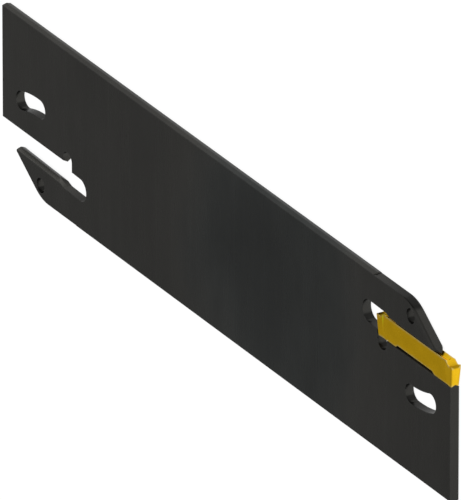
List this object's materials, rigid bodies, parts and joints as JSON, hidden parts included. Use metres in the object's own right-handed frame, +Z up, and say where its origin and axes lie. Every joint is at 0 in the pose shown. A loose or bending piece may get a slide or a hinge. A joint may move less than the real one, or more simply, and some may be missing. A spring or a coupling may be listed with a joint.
{
  "type": "parting blade",
  "caption": "Flat bar blade for parting off on a lathe, with V-shaped guide edges, sprung self-clamping pockets, release-key holes and a gold-coated insert held in a pocket.",
  "frame": {"origin": "middle of the surface that the blade lies on, under the middle of its bounding box", "axes": "+X along the blade towards the end that holds the insert, +Y across it towards that end's clamping finger, +Z up, square to the blade's flat faces"},
  "size_m": [0.1504, 0.032, 0.002],
  "materials": {
    "blackened_steel": "satin",
    "gold_coating": "satin"
  },
  "bodies": {
    "root": {"blade_body": "blackened_steel", "insert": "gold_coating"}
  },
  "joints": []
}
